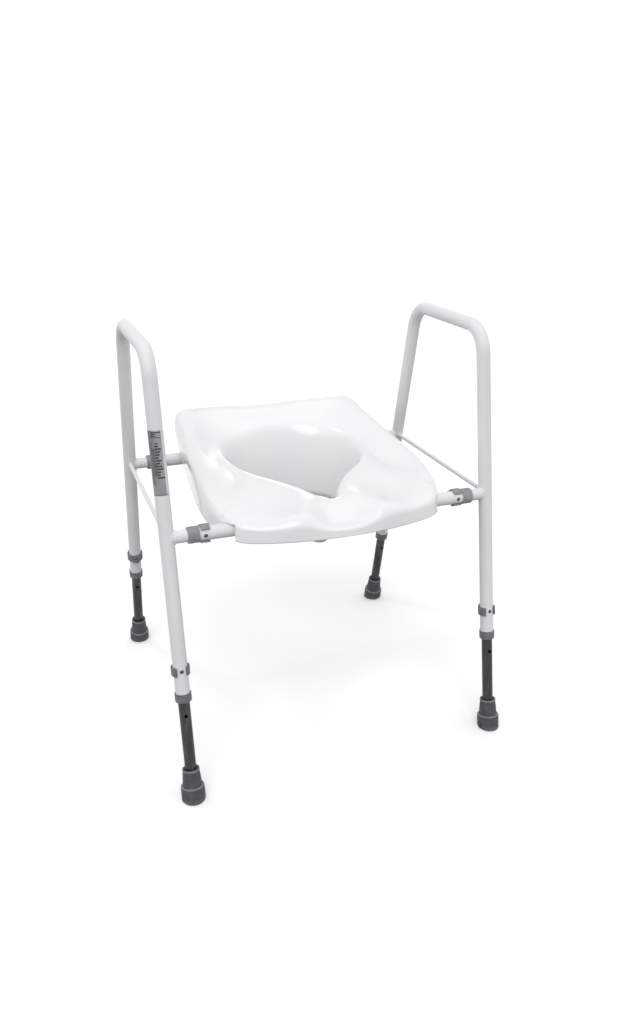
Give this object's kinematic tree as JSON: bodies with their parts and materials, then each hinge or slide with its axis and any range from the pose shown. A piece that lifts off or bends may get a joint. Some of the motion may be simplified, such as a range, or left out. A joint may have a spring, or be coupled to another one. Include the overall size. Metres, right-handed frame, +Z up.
{
  "type": "raised toilet seat",
  "caption": "Free-standing raised toilet seat: moulded seat with hopper, on a tubular frame with arm grips, width-adjusting cross tubes and telescopic legs.",
  "frame": {"origin": "on the floor, midway between the four feet", "axes": "+Z up; -Y is the front of the seat, where the user faces; +X is to the right when looking along +Y at the front of the seat"},
  "size_m": [0.651, 0.6134, 0.7847],
  "materials": {
    "gloss_white": "glossy moulded plastic",
    "powder_white": "white powder coat on steel tube",
    "grey_plastic": "mid-grey moulded plastic, satin",
    "leg_metal": "dark grey-brown coated steel, satin",
    "foot_rubber": "slate-grey moulded rubber",
    "steel_pin": "bright plated steel",
    "dark_pin": "dark plated steel",
    "label_film": "silver-grey printed film, left blank"
  },
  "bodies": {
    "cross_tubes": {"cross_tube_front": "powder_white", "cross_tube_rear": "powder_white", "cross_collar_front_left": "grey_plastic", "cross_collar_front_right": "grey_plastic", "cross_collar_rear_left": "grey_plastic", "cross_collar_rear_right": "grey_plastic"},
    "seat": {"seat_moulding": "gloss_white", "seat_clip_front_left": "gloss_white", "seat_clip_front_right": "gloss_white", "seat_clip_rear_left": "gloss_white", "seat_clip_rear_right": "gloss_white", "seat_clip_screws": "steel_pin"},
    "left_frame": {"handle_tube_left": "powder_white", "stub_front_left": "powder_white", "stub_rear_left": "powder_white", "brace_rod_left": "powder_white", "leg_collar_front_left": "grey_plastic", "leg_collar_rear_left": "grey_plastic", "rating_label": "label_film"},
    "right_frame": {"handle_tube_right": "powder_white", "stub_front_right": "powder_white", "stub_rear_right": "powder_white", "brace_rod_right": "powder_white", "leg_collar_front_right": "grey_plastic", "leg_collar_rear_right": "grey_plastic"},
    "leg_body_front_left": {"leg_front_left": "leg_metal", "ferrule_front_left": "foot_rubber", "washer_front_left": "steel_pin"},
    "leg_body_front_right": {"leg_front_right": "leg_metal", "ferrule_front_right": "foot_rubber", "washer_front_right": "steel_pin"},
    "leg_body_rear_left": {"leg_rear_left": "leg_metal", "ferrule_rear_left": "foot_rubber", "washer_rear_left": "steel_pin"},
    "leg_body_rear_right": {"leg_rear_right": "leg_metal", "ferrule_rear_right": "foot_rubber", "washer_rear_right": "steel_pin"},
    "leg_lock_front_left": {"leg_clip_front_left": "grey_plastic", "leg_pin_front_left": "dark_pin"},
    "leg_lock_front_right": {"leg_clip_front_right": "grey_plastic", "leg_pin_front_right": "dark_pin"},
    "leg_lock_rear_left": {"leg_clip_rear_left": "grey_plastic", "leg_pin_rear_left": "dark_pin"},
    "leg_lock_rear_right": {"leg_clip_rear_right": "grey_plastic", "leg_pin_rear_right": "dark_pin"},
    "width_lock_front_left": {"cross_clip_front_left": "grey_plastic", "cross_pin_front_left": "dark_pin"},
    "width_lock_front_right": {"cross_clip_front_right": "grey_plastic", "cross_pin_front_right": "dark_pin"},
    "width_lock_rear_left": {"cross_clip_rear_left": "grey_plastic", "cross_pin_rear_left": "dark_pin"},
    "width_lock_rear_right": {"cross_clip_rear_right": "grey_plastic", "cross_pin_rear_right": "dark_pin"}
  },
  "joints": [
    {"name": "seat_lift", "type": "slide", "parent": "cross_tubes", "child": "seat", "axis": [0, 0, 1], "range_m": [0, 0.2], "deforming": ["seat_clip_front_left", "seat_clip_front_right", "seat_clip_rear_left", "seat_clip_rear_right"]},
    {"name": "width_left", "type": "slide", "parent": "cross_tubes", "child": "left_frame", "axis": [-1, 0, 0], "range_m": [-0.0125, 0.0625]},
    {"name": "width_right", "type": "slide", "parent": "cross_tubes", "child": "right_frame", "axis": [1, 0, 0], "range_m": [-0.0125, 0.0625]},
    {"name": "height_front_left", "type": "slide", "parent": "left_frame", "child": "leg_body_front_left", "axis": [0, -0.1969, -0.9804], "range_m": [-0.084, 0.084]},
    {"name": "height_front_right", "type": "slide", "parent": "right_frame", "child": "leg_body_front_right", "axis": [0, -0.1969, -0.9804], "range_m": [-0.084, 0.084]},
    {"name": "height_rear_left", "type": "slide", "parent": "left_frame", "child": "leg_body_rear_left", "axis": [0, 0.1969, -0.9804], "range_m": [-0.084, 0.084]},
    {"name": "height_rear_right", "type": "slide", "parent": "right_frame", "child": "leg_body_rear_right", "axis": [0, 0.1969, -0.9804], "range_m": [-0.084, 0.084]},
    {"name": "leg_lock_pull_front_left", "type": "slide", "parent": "left_frame", "child": "leg_lock_front_left", "axis": [0, 0.9804, -0.1969], "range_m": [0, 0.045], "deforming": ["leg_clip_front_left"]},
    {"name": "leg_lock_pull_front_right", "type": "slide", "parent": "right_frame", "child": "leg_lock_front_right", "axis": [0, 0.9804, -0.1969], "range_m": [0, 0.045], "deforming": ["leg_clip_front_right"]},
    {"name": "leg_lock_pull_rear_left", "type": "slide", "parent": "left_frame", "child": "leg_lock_rear_left", "axis": [0, -0.9804, -0.1969], "range_m": [0, 0.045], "deforming": ["leg_clip_rear_left"]},
    {"name": "leg_lock_pull_rear_right", "type": "slide", "parent": "right_frame", "child": "leg_lock_rear_right", "axis": [0, -0.9804, -0.1969], "range_m": [0, 0.045], "deforming": ["leg_clip_rear_right"]},
    {"name": "width_lock_pull_front_left", "type": "slide", "parent": "cross_tubes", "child": "width_lock_front_left", "axis": [0, 1, 0], "range_m": [0, 0.045], "deforming": ["cross_clip_front_left"]},
    {"name": "width_lock_pull_front_right", "type": "slide", "parent": "cross_tubes", "child": "width_lock_front_right", "axis": [0, 1, 0], "range_m": [0, 0.045], "deforming": ["cross_clip_front_right"]},
    {"name": "width_lock_pull_rear_left", "type": "slide", "parent": "cross_tubes", "child": "width_lock_rear_left", "axis": [0, -1, 0], "range_m": [0, 0.045], "deforming": ["cross_clip_rear_left"]},
    {"name": "width_lock_pull_rear_right", "type": "slide", "parent": "cross_tubes", "child": "width_lock_rear_right", "axis": [0, -1, 0], "range_m": [0, 0.045], "deforming": ["cross_clip_rear_right"]}
  ]
}
